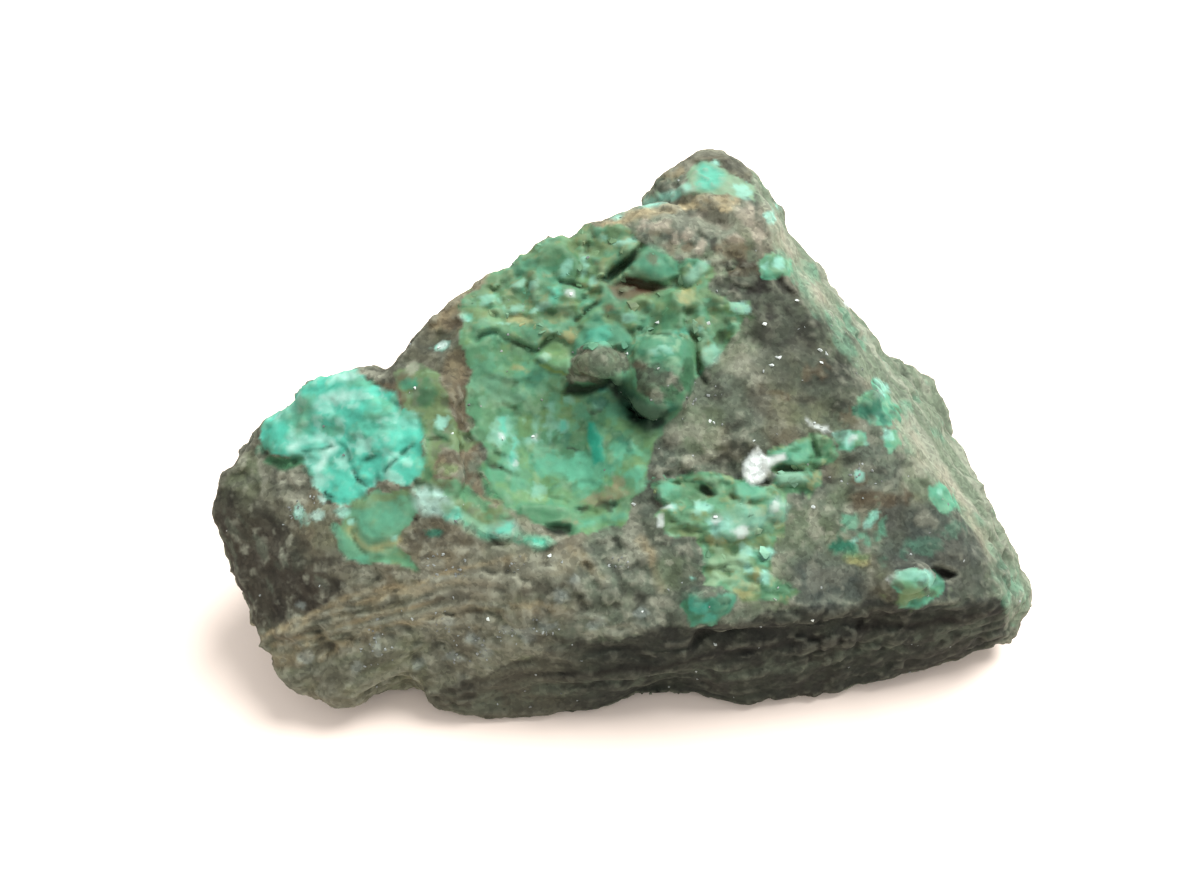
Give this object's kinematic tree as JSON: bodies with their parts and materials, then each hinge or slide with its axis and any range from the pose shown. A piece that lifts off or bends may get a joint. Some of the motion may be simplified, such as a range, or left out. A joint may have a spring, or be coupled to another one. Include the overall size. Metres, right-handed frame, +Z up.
{
  "type": "eilat stone",
  "caption": "Hand specimen of eilat stone: a broken, leaning piece of grey-brown rock with green and turquoise copper minerals.",
  "frame": {"origin": "under the middle of the stone's bounding box, at the ground that its flat foot rests on", "axes": "+X along the stone's length, from the low lobe to the pointed tip; +Y from the sloping main face to the hidden back; +Z up"},
  "size_m": [0.0616, 0.0356, 0.0282],
  "materials": {
    "copper_mineral_rock": "rough, dull rock with waxy green and turquoise mineral patches"
  },
  "bodies": {
    "root": {"stone": "copper_mineral_rock"}
  },
  "joints": []
}
